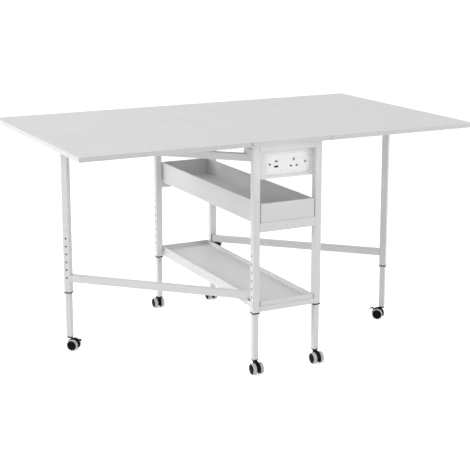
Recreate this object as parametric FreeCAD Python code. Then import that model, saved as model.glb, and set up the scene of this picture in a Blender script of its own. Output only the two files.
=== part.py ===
import FreeCAD, Part
import math
import os

# A folding cutting table: a narrow wheeled frame carries a fixed centre board, a tray, a shelf and a
# power outlet. Two hinged leaves double its width five times over, each held up by a swing-out gate.
# Millimetres, +Z up, floor at z = 0, the long side of the top along X, the outlet end towards -Y.

# ---- driving dimensions -------------------------------------------------------------------------
# work surface
TOP_LENGTH = 1500.0
TOP_DEPTH = 900.0
TOP_HEIGHT = 814.0
BOARD = 16.0
BOARD_OVER_FRAME = 18.0
END_OVERHANG = 29.0
SEAM = 2.0
BOARD_EDGE_ROUND = 1.0

# central frame
FRAME_WIDTH = 264.0
TUBE = 25.0
TUBE_WALL = 1.5
TUBE_CORNER = 2.5
LEG_END = 218.0
PAST = 1.0  # how far a cutting shape runs on past the face that it opens

# telescoping lower legs
FOOT_TUBE = 20.0
FOOT_WALL = 1.5
FOOT_CORNER = 2.0
HOLE_COUNT = 8
HOLE_PITCH = 29.0
HOLE_LOWEST = 272.0
HOLE_DIA = 7.0
SET_HOLE = 8
FOOT_ABOVE_BUTTON = 23.0
COLLAR_FLANGE = 4.0
COLLAR_LIP = 0.7
COLLAR_DEPTH = 30.0
SLIDE_GAP = 0.1

# snap buttons, two on each sprung leaf
BUTTON_COUNT = 2
BUTTON_DIA = 6.0
BUTTON_LEAF_WIDTH = 10.0
BUTTON_LEAF = 1.2
BUTTON_PROUD = 1.5
BUTTON_BORE_GAP = 0.08

# sheet-metal tray
TRAY_BELOW_PANEL = 78.5
TRAY_DEPTH = 65.0
TRAY_SIDE_GAP = 3.0
TRAY_SHEET = 1.5
TRAY_LIP = 8.0
TRAY_SKIRT = 11.0
TRAY_RAIL_HEIGHT = 33.0

# sheet-metal shelf
SHELF_RIM_HEIGHT = 255.5
SHELF_DEPTH = 16.0
SHELF_SKIRT = 19.5
SHELF_LIP = 5.0
SHELF_RAIL_HEIGHT = 20.0

# power outlet panel, set back between the near legs
PANEL_TOP_GAP = 0.3
PANEL_HEIGHT = 98.2
PANEL_SHEET = 1.5
PANEL_FLANGE = 8.0
PANEL_INSET = 20.5
RECESS_WIDTH = 176.0
RECESS_HEIGHT = 76.0
RECESS_DEPTH = 6.0
OUTLET_X = 10.0
OUTLET_DROP = 75.0
OUTLET_WIDTH = 160.0
OUTLET_HEIGHT = 65.0
OUTLET_PROUD = 2.5
OUTLET_BASE = 2.0
OUTLET_LAP = 3.0
OUTLET_ROUND = 4.0
OUTLET_RIM_ROUND = 1.25
BOX_WIDTH = 148.0
BOX_HEIGHT = 50.0
BOX_DEPTH = 42.0
BOX_WALL = 2.0
GLAND_DIA = 14.0
GLAND_BORE = 7.0
GLAND_LENGTH = 12.0
SOCKET_X = 24.5
SOCKET_PIN_SPAN = 22.2
SOCKET_PIN_DROP = 22.2
SOCKET_LIVE_W = 7.0
SOCKET_LIVE_H = 4.6
SOCKET_EARTH_W = 4.6
SOCKET_EARTH_H = 8.4
SOCKET_BELOW = 10.5
USB_X = -43.5
USB_A_W = 12.6
USB_A_H = 5.2
USB_C_W = 9.0
USB_C_H = 3.2
USB_SPAN = 18.0
OUTLET_SCREW_SPAN = 137.0
SCREW_HEAD_DIA = 8.0
SCREW_HEAD = 1.6
SCREW_SHANK_DIA = 3.5
SCREW_SHANK = 16.0

# frame screws
BOLT_HEAD_DIA = 10.0
BOLT_HEAD = 3.0
BOLT_DIA = 5.0
BOLT_REACH = 12.0
SHELF_BOLT_INSET = 15.0
BOARD_BOLT_INSET = 37.0
BOARD_BOLT_BITE = 11.0

# leaf hinges
HINGE_LENGTH = 60.0
HINGE_FROM_LEG = 43.5
HINGE_PLATE = 1.6
HINGE_REACH = 25.0
KNUCKLE_DIA = 6.0
KNUCKLE_DROP = 0.4
KNUCKLE_GAP = 0.3
HINGE_PIN_DIA = 3.0

# swing-out gates
GATE_FOLD_ROOM = 86.0
GATE_ANGLE = 45.0
GATE_SETBACK = 22.0
GATE_STOP_GAP = 0.3
GATE_RAIL_LOW = 257.0
GATE_RAIL_DROP = 61.0
GATE_CAP = 4.0
GATE_CAP_ROUND = 3.0
GATE_TOP_GAP = 0.3
GATE_TOP_CAP = 2.2
PLUG_DEPTH = 14.0
PIVOT_DIA = 8.0
PIVOT_GAP = 0.06
PIVOT_HEAD_DIA = 13.0
PIVOT_HEAD = 3.0
PIVOT_PROUD = 2.0
BRACKET_SHEET = 2.5
BRACKET_HEIGHT = 20.0
BRACKET_LENGTH = 43.0
BRACKET_CUT = 8.0
BRACKET_CLEAR = 0.5
BLOCK_GAP = 0.3
BLOCK_ROUND = 2.5

# twin-wheel casters
CASTER_HEIGHT = 47.5
WHEEL_DIA = 40.0
WHEEL_WIDTH = 14.0
WHEEL_HUB_DIA = 33.0
WHEEL_DISH = 1.0
WHEEL_ROUND = 2.0
CASTER_TRAIL = 14.0
HOOD_WIDTH = 12.0
HOOD_OVER_WHEEL = 3.5
HOOD_WEB = 7.0
HOOD_RIM = 3.0
HOOD_BOTTOM = 11.0
HOOD_TOP_DIA = 19.0
HOOD_TOP_PLATE = 3.0
HOOD_NECK = 4.75
AXLE_BOSS_DIA = 10.0
AXLE_DIA = 5.0
AXLE_GAP = 0.05
WHEEL_SIDE_GAP = 0.5
WHEEL_CAP = 3.0
STEM_DIA = 8.0
STEM_GAP = 0.05
STEM_LENGTH = 24.0
STEM_PLAY = 0.4
FOOT_PLUG_FLANGE = 3.0
FOOT_PLUG_DEPTH = 30.0

# brake levers of the gate casters
LEVER_PIVOT_OUT = 14.0
LEVER_PIVOT_UP = 11.0
LEVER_ARM_WIDTH = 6.0
LEVER_SLOT_GAP = 0.3
LEVER_HUB_DIA = 8.0
LEVER_PIN_DIA = 3.0
LEVER_PIN_GAP = 0.05
LEVER_THICK = 3.6
KNEE_OUT = 7.5
KNEE_UP = 9.0
PEDAL_OUT = 15.5
PEDAL_UP = 6.0
PEDAL_WIDTH = 12.0

# ---- sizes that follow --------------------------------------------------------------------------
UNDERSIDE = TOP_HEIGHT - BOARD
FIXED_WIDTH = FRAME_WIDTH + 2 * BOARD_OVER_FRAME
FRAME_DEPTH = TOP_DEPTH - 2 * END_OVERHANG
LEG_X = (FRAME_WIDTH - TUBE) / 2
LEG_Y = (FRAME_DEPTH - TUBE) / 2
INNER_X = FRAME_WIDTH / 2 - TUBE
INNER_Y = FRAME_DEPTH / 2 - TUBE
SHELF_BOLT_X = INNER_X - SHELF_BOLT_INSET
BOARD_BOLT_X = INNER_X - BOARD_BOLT_INSET
BUTTON_Z = HOLE_LOWEST + (SET_HOLE - 1) * HOLE_PITCH
FOOT_TOP = BUTTON_Z + FOOT_ABOVE_BUTTON
PIVOT_X = -LEG_X
PIVOT_Y = -INNER_Y + GATE_SETBACK
GATE_ARM = 2 * INNER_Y - GATE_SETBACK - GATE_FOLD_ROOM
GATE_RAIL_HIGH = UNDERSIDE - GATE_RAIL_DROP
FOOT_BOTTOM = CASTER_HEIGHT + FOOT_PLUG_FLANGE
PANEL_TOP = UNDERSIDE - TUBE - PANEL_TOP_GAP
PANEL_BASE = PANEL_TOP - PANEL_HEIGHT
PANEL_FACE = -FRAME_DEPTH / 2 + PANEL_INSET
BASE_FACE = PANEL_FACE + RECESS_DEPTH
BASE_BACK = BASE_FACE + OUTLET_BASE
OUTLET_FRONT = BASE_FACE - OUTLET_PROUD
OUTLET_Z = UNDERSIDE - OUTLET_DROP
TRAY_RIM_HEIGHT = PANEL_BASE - TRAY_BELOW_PANEL
TRAY_FLOOR = TRAY_RIM_HEIGHT - TRAY_DEPTH
SHELF_FLOOR = SHELF_RIM_HEIGHT - SHELF_DEPTH
HINGE_X = (FIXED_WIDTH + SEAM) / 2
HINGE_Z = UNDERSIDE - KNUCKLE_DROP - KNUCKLE_DIA / 2
HINGE_SPREAD = LEG_Y - HINGE_FROM_LEG


# ---- small makers -------------------------------------------------------------------------------
def vec(x, y, z):
    return FreeCAD.Vector(x, y, z)


def box(x0, x1, y0, y1, z0, z1):
    """A block between two corners."""
    return Part.makeBox(x1 - x0, y1 - y0, z1 - z0, vec(x0, y0, z0))


def rod(dia, start, end):
    """A round bar from one point to another."""
    along = end - start
    return Part.makeCylinder(dia / 2, along.Length, start, along)


def rounded(shape, radius, chosen):
    """The shape with the edges that chosen accepts filleted."""
    edges = [e for e in shape.Edges if chosen(e)]
    return shape.makeFillet(radius, edges)


def runs_along(axis):
    """A test for straight edges that lie along X (0), Y (1) or Z (2)."""

    def test(edge):
        if len(edge.Vertexes) != 2:
            return False
        d = edge.Vertexes[1].Point - edge.Vertexes[0].Point
        return abs(abs(d[axis]) - d.Length) < 1e-6

    return test


def square_tube(size, wall, corner, length):
    """An upright square tube on the Z axis, from z = 0 up, open at both ends."""
    half = size / 2
    outer = rounded(box(-half, half, -half, half, 0, length), corner, runs_along(2))
    inner = half - wall
    hollow = box(-inner, inner, -inner, inner, -PAST, length + PAST)
    return outer.cut(rounded(hollow, corner - wall, runs_along(2)))


def turned(shape, angle, x=0.0, y=0.0):
    """A copy turned about the Z axis, then moved to a place on the floor plan."""
    copy = shape.copy()
    copy.rotate(vec(0, 0, 0), vec(0, 0, 1), angle)
    copy.translate(vec(x, y, 0))
    return copy


def half_turn(shape):
    """The same piece on the other side: the table repeats itself after half a turn about Z."""
    return turned(shape, 180)


def both(shape):
    return [shape, half_turn(shape)]


def write(name, *solids):
    """One STEP file for each node."""
    shape = solids[0] if len(solids) == 1 else Part.makeCompound(list(solids))
    shape.exportStep("parts/" + name + ".step")


# ---- boards -------------------------------------------------------------------------------------
def board(x0, x1):
    """One laminated board with its upright corners and upper rim just broken."""
    slab = box(x0, x1, -TOP_DEPTH / 2, TOP_DEPTH / 2, UNDERSIDE, TOP_HEIGHT)
    return rounded(slab, BOARD_EDGE_ROUND, runs_along(2))


def board_bolt_places():
    return [(x, y) for x in (-BOARD_BOLT_X, BOARD_BOLT_X) for y in (-LEG_Y, LEG_Y)]


def fixed_board():
    """The centre board, with blind holes for the screws that come up through the end rails."""
    slab = board(-FIXED_WIDTH / 2, FIXED_WIDTH / 2)
    for x, y in board_bolt_places():
        top = UNDERSIDE + BOARD_BOLT_BITE
        slab = slab.cut(rod(BOLT_DIA, vec(x, y, UNDERSIDE - PAST), vec(x, y, top)))
    return slab


# ---- leaf hinges --------------------------------------------------------------------------------
def hinge_knuckle(y0, y1, side):
    """One knuckle with the tongue that joins it to its plate; side is -1 or 1 from the pin."""
    barrel = rod(KNUCKLE_DIA, vec(HINGE_X, y0, HINGE_Z), vec(HINGE_X, y1, HINGE_Z))
    crown = HINGE_Z + KNUCKLE_DIA / 2
    step = side * KNUCKLE_DIA / 2
    xs = sorted((HINGE_X, HINGE_X + step))
    barrel = barrel.fuse(box(xs[0], xs[1], y0, y1, crown - HINGE_PLATE, crown))
    bore = HINGE_PIN_DIA + 2 * AXLE_GAP
    ends = [vec(HINGE_X, y, HINGE_Z) for y in (y0 - PAST, y1 + PAST)]
    return barrel.cut(rod(bore, *ends))


def hinge_half(y, side):
    """A hinge plate on the underside: the fixed half has two knuckles, the leaf's half the middle one."""
    third = HINGE_LENGTH / 3
    start = y - HINGE_LENGTH / 2
    inner = HINGE_X + side * KNUCKLE_DIA / 2
    outer = HINGE_X + side * HINGE_REACH
    xs = sorted((inner, outer))
    plate = box(xs[0], xs[1], start, start + HINGE_LENGTH, UNDERSIDE - HINGE_PLATE, UNDERSIDE)
    if side < 0:
        spans = [(start, start + third), (start + 2 * third, start + HINGE_LENGTH)]
    else:
        spans = [(start + third + KNUCKLE_GAP, start + 2 * third - KNUCKLE_GAP)]
    crown = HINGE_Z + KNUCKLE_DIA / 2
    back = sorted((inner - side * HINGE_PLATE, inner))
    front = sorted((inner, inner + side * HINGE_PLATE))
    for y0, y1 in spans:
        drop = box(*back, y0, y1, crown - HINGE_PLATE, crown)
        link = box(*front, y0, y1, crown - HINGE_PLATE, UNDERSIDE)
        plate = plate.fuse([hinge_knuckle(y0, y1, side), drop, link])
    return plate.removeSplitter()


def hinge_pin(y):
    ends = [vec(HINGE_X, y + s * HINGE_LENGTH / 2, HINGE_Z) for s in (-1, 1)]
    return rod(HINGE_PIN_DIA, ends[0], ends[1])


def hinge_places():
    return [-HINGE_SPREAD, 0.0, HINGE_SPREAD]


# ---- legs ---------------------------------------------------------------------------------------
def holed_tube(top):
    """An upper leg tube on the Z axis with its row of setting holes in the -X wall."""
    tube = square_tube(TUBE, TUBE_WALL, TUBE_CORNER, top - LEG_END)
    tube.translate(vec(0, 0, LEG_END))
    for i in range(HOLE_COUNT):
        z = HOLE_LOWEST + i * HOLE_PITCH
        tube = tube.cut(rod(HOLE_DIA, vec(-TUBE, 0, z), vec(0, 0, z)))
    return tube


def collar():
    """The plastic bush in the mouth of an upper leg, with a thin lip outside it."""
    lip = TUBE / 2 + COLLAR_LIP
    flange = box(-lip, lip, -lip, lip, LEG_END - COLLAR_FLANGE, LEG_END)
    flange = rounded(flange, TUBE_CORNER, runs_along(2))
    half = TUBE / 2 - TUBE_WALL - SLIDE_GAP
    sleeve = box(-half, half, -half, half, LEG_END, LEG_END + COLLAR_DEPTH)
    sleeve = rounded(sleeve, TUBE_CORNER - TUBE_WALL, runs_along(2))
    inner = FOOT_TUBE / 2 + SLIDE_GAP
    low = LEG_END - COLLAR_FLANGE - PAST
    way = box(-inner, inner, -inner, inner, low, LEG_END + COLLAR_DEPTH + PAST)
    way = rounded(way, FOOT_CORNER, runs_along(2))
    return flange.fuse(sleeve).cut(way).removeSplitter()


def button_heights():
    return [BUTTON_Z - i * HOLE_PITCH for i in range(BUTTON_COUNT)]


def foot_tube():
    """A lower leg tube on the Z axis, pierced in its -X wall at the pitch of the upper tube's holes."""
    tube = square_tube(FOOT_TUBE, FOOT_WALL, FOOT_CORNER, FOOT_TOP - FOOT_BOTTOM)
    tube.translate(vec(0, 0, FOOT_BOTTOM))
    bore = BUTTON_DIA + 2 * BUTTON_BORE_GAP
    for i in range(SET_HOLE):
        z = BUTTON_Z - i * HOLE_PITCH
        dia = bore if i < BUTTON_COUNT else HOLE_DIA
        tube = tube.cut(rod(dia, vec(-FOOT_TUBE, 0, z), vec(0, 0, z)))
    return tube


def foot_plug():
    """The plastic plug in the foot of a lower leg, bored for the caster's stem."""
    half = FOOT_TUBE / 2
    flange = box(-half, half, -half, half, CASTER_HEIGHT, FOOT_BOTTOM)
    flange = rounded(flange, FOOT_CORNER, runs_along(2))
    inner = half - FOOT_WALL
    body = box(-inner, inner, -inner, inner, FOOT_BOTTOM, FOOT_BOTTOM + FOOT_PLUG_DEPTH)
    plug = flange.fuse(rounded(body, FOOT_CORNER - FOOT_WALL, runs_along(2)))
    top = CASTER_HEIGHT + STEM_LENGTH + STEM_PLAY
    bore = rod(STEM_DIA + 2 * STEM_GAP, vec(0, 0, CASTER_HEIGHT - PAST), vec(0, 0, top))
    return plug.cut(bore).removeSplitter()


def snap_button():
    """The sprung leaf inside the foot, with domed pins that reach out through both tubes."""
    inner_wall = FOOT_TUBE / 2 - FOOT_WALL - SLIDE_GAP
    radius = BUTTON_DIA / 2
    dome = TUBE / 2
    squash = FreeCAD.Matrix()
    squash.A11 = BUTTON_PROUD / radius
    squash.A14 = -dome * (1 - BUTTON_PROUD / radius)
    cap = Part.makeSphere(radius, vec(-dome, 0, 0)).transformGeometry(squash)
    heights = button_heights()
    half = BUTTON_LEAF_WIDTH / 2
    clip = box(-inner_wall, BUTTON_LEAF - inner_wall, -half, half, min(heights) - half, max(heights) + half)
    clip = rounded(clip, radius, runs_along(0))
    for z in heights:
        pin = rod(BUTTON_DIA, vec(-inner_wall, 0, 0), vec(-dome, 0, 0)).fuse(cap)
        pin.translate(vec(0, 0, z))
        clip = clip.fuse(pin)
    return clip.removeSplitter()


# ---- end frames ---------------------------------------------------------------------------------
def cross_rail(height, z, y, length=2 * INNER_X):
    """A rectangular tube across an end frame, between the legs."""
    half = TUBE / 2
    x = length / 2
    outer = rounded(box(-x, x, y - half, y + half, z, z + height), TUBE_CORNER, runs_along(0))
    w = TUBE_WALL
    hollow = box(-x - PAST, x + PAST, y - half + w, y + half - w, z + w, z + height - w)
    return outer.cut(hollow)


def top_rail(y):
    """The rail under the centre board, drilled for the screws that hold the board down."""
    rail = cross_rail(TUBE, UNDERSIDE - TUBE, y)
    for x, place in board_bolt_places():
        ends = [vec(x, place, z) for z in (UNDERSIDE - TUBE - PAST, UNDERSIDE + PAST)]
        if place == y:
            rail = rail.cut(rod(BOLT_DIA, *ends))
    return rail


def face_bolt(x, y, z):
    """A round-headed screw into an end rail from outside; the head rests on the rail's outer face."""
    way = 1 if y > 0 else -1
    face = y + way * TUBE / 2
    head = rod(BOLT_HEAD_DIA, vec(x, face, z), vec(x, face + way * BOLT_HEAD, z))
    return head.fuse(rod(BOLT_DIA, vec(x, face, z), vec(x, face - way * BOLT_REACH, z)))


def drilled(rail, places):
    """A cross rail with its outer wall drilled for its face screws."""
    for x, y, z in places:
        way = 1 if y > 0 else -1
        inside = y + way * (TUBE / 2 - BOLT_REACH)
        rail = rail.cut(rod(BOLT_DIA, vec(x, y + way * TUBE, z), vec(x, inside, z)))
    return rail


def tray_bolts(y):
    return [(0.0, y, TRAY_FLOOR - TRAY_RAIL_HEIGHT / 2 - BOLT_HEAD)]


def shelf_bolts(y):
    return [(s * SHELF_BOLT_X, y, SHELF_FLOOR - SHELF_RAIL_HEIGHT / 2) for s in (-1, 1)]


def board_bolt(x, y):
    """A screw up through the end rail into the centre board."""
    base = UNDERSIDE - TUBE
    head = rod(BOLT_HEAD_DIA, vec(x, y, base - BOLT_HEAD), vec(x, y, base))
    return head.fuse(rod(BOLT_DIA, vec(x, y, base), vec(x, y, UNDERSIDE + BOARD_BOLT_BITE)))


def sheet_tray(rim, depth, skirt, lip):
    """A folded sheet tray between the end frames: floor, four walls, inward rim and side skirts."""
    x = INNER_X - TRAY_SIDE_GAP
    y = FRAME_DEPTH / 2
    floor = rim - depth
    t = TRAY_SHEET
    inside = box(-x + t, x - t, -y + t, y - t, floor + t, rim + PAST)
    tray = box(-x, x, -y, y, floor, rim).cut(inside)
    frame = box(-x + t / 2, x - t / 2, -y + t / 2, y - t / 2, rim - t, rim)
    opening = box(-x + lip, x - lip, -y + lip, y - lip, rim - t - PAST, rim + PAST)
    tray = tray.fuse(frame.cut(opening))
    for s in (-1, 1):
        xs = sorted((s * x, s * (x - t)))
        tray = tray.fuse(box(xs[0], xs[1], -INNER_Y, INNER_Y, floor - skirt, floor + t))
    return tray.removeSplitter()


# ---- power outlet -------------------------------------------------------------------------------
def power_plate():
    """A folded steel panel between the near legs; the edges of its opening are turned inwards."""
    x = INNER_X
    t = PANEL_SHEET
    back = PANEL_FACE + PANEL_FLANGE
    pan = box(-x, x, PANEL_FACE, back, PANEL_BASE, PANEL_TOP)
    pan = pan.cut(box(-x + t, x - t, PANEL_FACE + t, back + PAST, PANEL_BASE + t, PANEL_TOP + PAST))
    half = RECESS_WIDTH / 2
    rise = RECESS_HEIGHT / 2
    x0, x1 = OUTLET_X - half, OUTLET_X + half
    z0, z1 = OUTLET_Z - rise, OUTLET_Z + rise
    rim = box(x0 - t, x1 + t, PANEL_FACE, BASE_FACE, z0 - t, z1 + t)
    return pan.fuse(rim).cut(box(x0, x1, PANEL_FACE - PAST, BASE_FACE + PAST, z0, z1)).removeSplitter()


def socket_slots():
    """Centre, width and height of the mains socket's three pin slots and the two charging ports."""
    pins = OUTLET_Z - SOCKET_BELOW
    half = SOCKET_PIN_SPAN / 2
    socket = OUTLET_X + SOCKET_X
    ports = OUTLET_X + USB_X
    return [
        (socket - half, pins, SOCKET_LIVE_W, SOCKET_LIVE_H),
        (socket + half, pins, SOCKET_LIVE_W, SOCKET_LIVE_H),
        (socket, pins + SOCKET_PIN_DROP, SOCKET_EARTH_W, SOCKET_EARTH_H),
        (ports, OUTLET_Z - USB_SPAN / 2, USB_A_W, USB_A_H),
        (ports, OUTLET_Z + USB_SPAN / 2, USB_C_W, USB_C_H),
    ]


def outlet_screw_places():
    return [OUTLET_X + side * OUTLET_SCREW_SPAN / 2 for side in (-1, 1)]


def outlet_face():
    """The moulded front: a base behind the panel's opening and, standing proud in it, the faceplate."""
    x = OUTLET_WIDTH / 2
    h = OUTLET_HEIGHT / 2
    plate = box(OUTLET_X - x, OUTLET_X + x, OUTLET_FRONT, BASE_BACK, OUTLET_Z - h, OUTLET_Z + h)
    plate = rounded(plate, OUTLET_ROUND, runs_along(1))
    rim = [e for e in plate.Edges if e.BoundBox.YMax < OUTLET_FRONT + OUTLET_PROUD / 2]
    plate = plate.makeFillet(OUTLET_RIM_ROUND, rim)
    x = RECESS_WIDTH / 2 + OUTLET_LAP
    h = RECESS_HEIGHT / 2 + OUTLET_LAP
    base = box(OUTLET_X - x, OUTLET_X + x, BASE_FACE, BASE_BACK, OUTLET_Z - h, OUTLET_Z + h)
    plate = plate.fuse(rounded(base, OUTLET_ROUND, runs_along(1))).removeSplitter()
    y0 = OUTLET_FRONT - PAST
    y1 = BASE_BACK + PAST
    for cx, cz, w, h in socket_slots():
        plate = plate.cut(box(cx - w / 2, cx + w / 2, y0, y1, cz - h / 2, cz + h / 2))
    for x in outlet_screw_places():
        plate = plate.cut(rod(SCREW_SHANK_DIA, vec(x, y0, OUTLET_Z), vec(x, y1, OUTLET_Z)))
    return plate


def outlet_box():
    """The closed housing behind the base, with a cable gland in its back wall."""
    back = BASE_BACK + BOX_DEPTH
    z = OUTLET_Z
    half = BOX_WIDTH / 2
    h = BOX_HEIGHT / 2
    t = BOX_WALL
    x0, x1 = OUTLET_X - half, OUTLET_X + half
    block = box(x0, x1, BASE_BACK, back, z - h, z + h)
    shell = block.cut(box(x0 + t, x1 - t, BASE_BACK - PAST, back - t, z - h + t, z + h - t))
    shell = shell.fuse(rod(GLAND_DIA, vec(OUTLET_X, back - t, z), vec(OUTLET_X, back + GLAND_LENGTH, z)))
    way = [vec(OUTLET_X, y, z) for y in (back - t - PAST, back + GLAND_LENGTH + PAST)]
    shell = shell.cut(rod(GLAND_BORE, *way))
    end = OUTLET_FRONT + SCREW_SHANK
    for x in outlet_screw_places():
        post = rod(SCREW_HEAD_DIA, vec(x, BASE_BACK, z), vec(x, back - t, z)).common(block)
        bore = rod(SCREW_SHANK_DIA, vec(x, BASE_BACK - PAST, z), vec(x, end, z))
        shell = shell.fuse(post).cut(bore)
    return shell.removeSplitter()


def outlet_screw(x):
    """A screw through the faceplate into its post in the housing."""
    front = OUTLET_FRONT
    z = OUTLET_Z
    head = rod(SCREW_HEAD_DIA, vec(x, front - SCREW_HEAD, z), vec(x, front, z))
    return head.fuse(rod(SCREW_SHANK_DIA, vec(x, front, z), vec(x, front + SCREW_SHANK, z)))


# ---- gates --------------------------------------------------------------------------------------
def gate_overhang():
    """How far a rail runs past its pivot: when the gate is open its cap meets the leg, as a stop."""
    lean = math.radians(GATE_ANGLE)
    return (GATE_SETBACK - GATE_STOP_GAP - TUBE / 2 * math.sin(lean)) / math.cos(lean)


def gate_rail(z):
    """A gate rail along +Y from its pivot on the Z axis, with the pivot hole through both walls."""
    start = -gate_overhang() + GATE_CAP
    end = GATE_ARM - TUBE / 2
    tube = square_tube(TUBE, TUBE_WALL, TUBE_CORNER, end - start)
    tube.rotate(vec(0, 0, 0), vec(1, 0, 0), -90)
    tube.translate(vec(0, start, z + TUBE / 2))
    ends = (vec(0, 0, z - PAST), vec(0, 0, z + TUBE + PAST))
    return tube.cut(rod(PIVOT_DIA + 2 * PIVOT_GAP, *ends))


def rail_cap(z):
    """The plug in a rail's free end, with rounded upright corners that clear the leg as it swings."""
    half = TUBE / 2
    back = -gate_overhang()
    plate = box(-half, half, back, back + GATE_CAP, z, z + TUBE)
    rim = [e for e in plate.Edges if runs_along(2)(e) and e.CenterOfMass.y < back + GATE_CAP / 2]
    plate = plate.makeFillet(GATE_CAP_ROUND, rim)
    inner = half - TUBE_WALL - SLIDE_GAP
    end = -PIVOT_DIA / 2 - BRACKET_CLEAR
    plug = box(-inner, inner, back + GATE_CAP, end, z + half - inner, z + half + inner)
    plug = rounded(plug, TUBE_CORNER - TUBE_WALL, runs_along(1))
    return plate.fuse(plug).removeSplitter()


def gate_leg():
    tube = holed_tube(UNDERSIDE - GATE_TOP_GAP - GATE_TOP_CAP)
    tube.translate(vec(0, GATE_ARM, 0))
    return tube


def top_cap():
    """The glide on top of a gate's leg, which the leaf rests on."""
    half = TUBE / 2
    top = UNDERSIDE - GATE_TOP_GAP
    pad = rounded(box(-half, half, -half, half, top - GATE_TOP_CAP, top), TUBE_CORNER, runs_along(2))
    inner = half - TUBE_WALL - SLIDE_GAP
    plug = box(-inner, inner, -inner, inner, top - GATE_TOP_CAP - PLUG_DEPTH, top - GATE_TOP_CAP)
    plug = rounded(plug, TUBE_CORNER - TUBE_WALL, runs_along(2))
    cap = pad.fuse(plug).removeSplitter()
    cap.translate(vec(0, GATE_ARM, 0))
    return cap


def gate_collar():
    ring = collar()
    ring.translate(vec(0, GATE_ARM, 0))
    return ring


def hung(shape):
    """A gate piece, drawn along +Y from the pivot, swung open and hung on the near-left leg."""
    return turned(shape, GATE_ANGLE, PIVOT_X, PIVOT_Y)


def gate_bracket(z, way):
    """A folded bracket on the outer side of the leg: a cheek, and a shelf that carries the pivot."""
    outer = -FRAME_WIDTH / 2
    inner = outer + TUBE
    rear = -INNER_Y + BRACKET_LENGTH
    near = -FRAME_DEPTH / 2
    t = BRACKET_SHEET
    far = z + way * BRACKET_HEIGHT
    zs = sorted((z + way * BRACKET_CLEAR, far))
    cheek = box(outer - t, outer, near, rear, zs[0], zs[1])
    corner = [e for e in cheek.Edges if runs_along(0)(e) and e.CenterOfMass.y > rear - t]
    corner = [e for e in corner if abs(e.CenterOfMass.z - far) < t]
    cheek = cheek.makeChamfer(BRACKET_CUT, corner)
    ledge = sorted((far, far - way * t))
    shelf = box(outer - t, inner, -INNER_Y, rear - BRACKET_CUT, ledge[0], ledge[1])
    hole = rod(PIVOT_DIA, vec(PIVOT_X, PIVOT_Y, far - 2 * t), vec(PIVOT_X, PIVOT_Y, far + 2 * t))
    return cheek.fuse(shelf).cut(hole).removeSplitter()


def gate_block(z, way):
    """The nylon spacer between the bracket's shelf and the rail."""
    outer = -FRAME_WIDTH / 2
    far = z + way * (BRACKET_HEIGHT - BRACKET_SHEET)
    zs = sorted((z + way * BLOCK_GAP, far))
    rear = -INNER_Y + BRACKET_LENGTH - BRACKET_CUT
    block = box(outer, outer + TUBE, -INNER_Y, rear, zs[0], zs[1])
    block = rounded(block, BLOCK_ROUND, lambda e: runs_along(2)(e) and e.CenterOfMass.y > PIVOT_Y)
    ends = [vec(PIVOT_X, PIVOT_Y, h) for h in (zs[0] - PAST, zs[1] + PAST)]
    return block.cut(rod(PIVOT_DIA, *ends))


def gate_pin(z, way):
    """A headed pin from the bracket's shelf through the block and both walls of the rail."""
    far = z + way * BRACKET_HEIGHT
    end = z - way * (TUBE + PIVOT_PROUD)
    crown, seat, tip = (vec(PIVOT_X, PIVOT_Y, h) for h in (far + way * PIVOT_HEAD, far, end))
    return rod(PIVOT_HEAD_DIA, crown, seat).fuse(rod(PIVOT_DIA, seat, tip))


def pivot_places():
    """Each rail's pivot: the low one stands on its bracket, the high one hangs from it."""
    return [(GATE_RAIL_LOW, -1), (GATE_RAIL_HIGH + TUBE, 1)]


# ---- casters ------------------------------------------------------------------------------------
def hood(with_lever):
    """The caster's body between its wheels: a rimmed web, a round top plate, the stem and the axle."""
    axle = vec(CASTER_TRAIL, 0, WHEEL_DIA / 2)
    across = vec(0, 1, 0)
    radius = WHEEL_DIA / 2 + HOOD_OVER_WHEEL
    half = HOOD_WIDTH / 2
    disc = Part.makeCylinder(radius, HOOD_WIDTH, axle - across * half, across)
    dish = 2 * (radius - HOOD_RIM)
    for s in (-1, 1):
        disc = disc.cut(rod(dish, axle + across * (s * HOOD_WEB / 2), axle + across * (s * half)))
    boss = rod(AXLE_BOSS_DIA, axle - across * half, axle + across * half)
    seat = CASTER_HEIGHT - HOOD_TOP_PLATE
    neck = box(-HOOD_NECK, CASTER_TRAIL, -half, half, axle.z, seat)
    keep = box(-WHEEL_DIA, 2 * WHEEL_DIA, -half, half, HOOD_BOTTOM, seat)
    body = disc.fuse([boss, neck]).common(keep)
    plate = rod(HOOD_TOP_DIA, vec(0, 0, seat - STEM_PLAY), vec(0, 0, CASTER_HEIGHT - STEM_PLAY))
    stem = rod(STEM_DIA, vec(0, 0, seat), vec(0, 0, CASTER_HEIGHT + STEM_LENGTH))
    reach = half + WHEEL_SIDE_GAP + WHEEL_WIDTH - WHEEL_CAP
    bar = rod(AXLE_DIA, axle - across * reach, axle + across * reach)
    body = body.fuse([plate, stem, bar])
    if with_lever:
        body = body.cut(lever_room())
    return body.removeSplitter()


def lever_pivot():
    return vec(CASTER_TRAIL + LEVER_PIVOT_OUT, 0, WHEEL_DIA / 2 + LEVER_PIVOT_UP)


def lever_room():
    """The slot in the hood that the lever's arm swings in, and the bore of its pin."""
    p = lever_pivot()
    half = LEVER_ARM_WIDTH / 2 + LEVER_SLOT_GAP
    low = p.z - LEVER_HUB_DIA - LEVER_SLOT_GAP
    back = p.x - LEVER_HUB_DIA / 2 - LEVER_SLOT_GAP
    slot = box(back, p.x + WHEEL_DIA, -half, half, low, CASTER_HEIGHT)
    bore = LEVER_PIN_DIA + 2 * LEVER_PIN_GAP
    return slot.fuse(rod(bore, p - vec(0, HOOD_WIDTH, 0), p + vec(0, HOOD_WIDTH, 0)))


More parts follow.
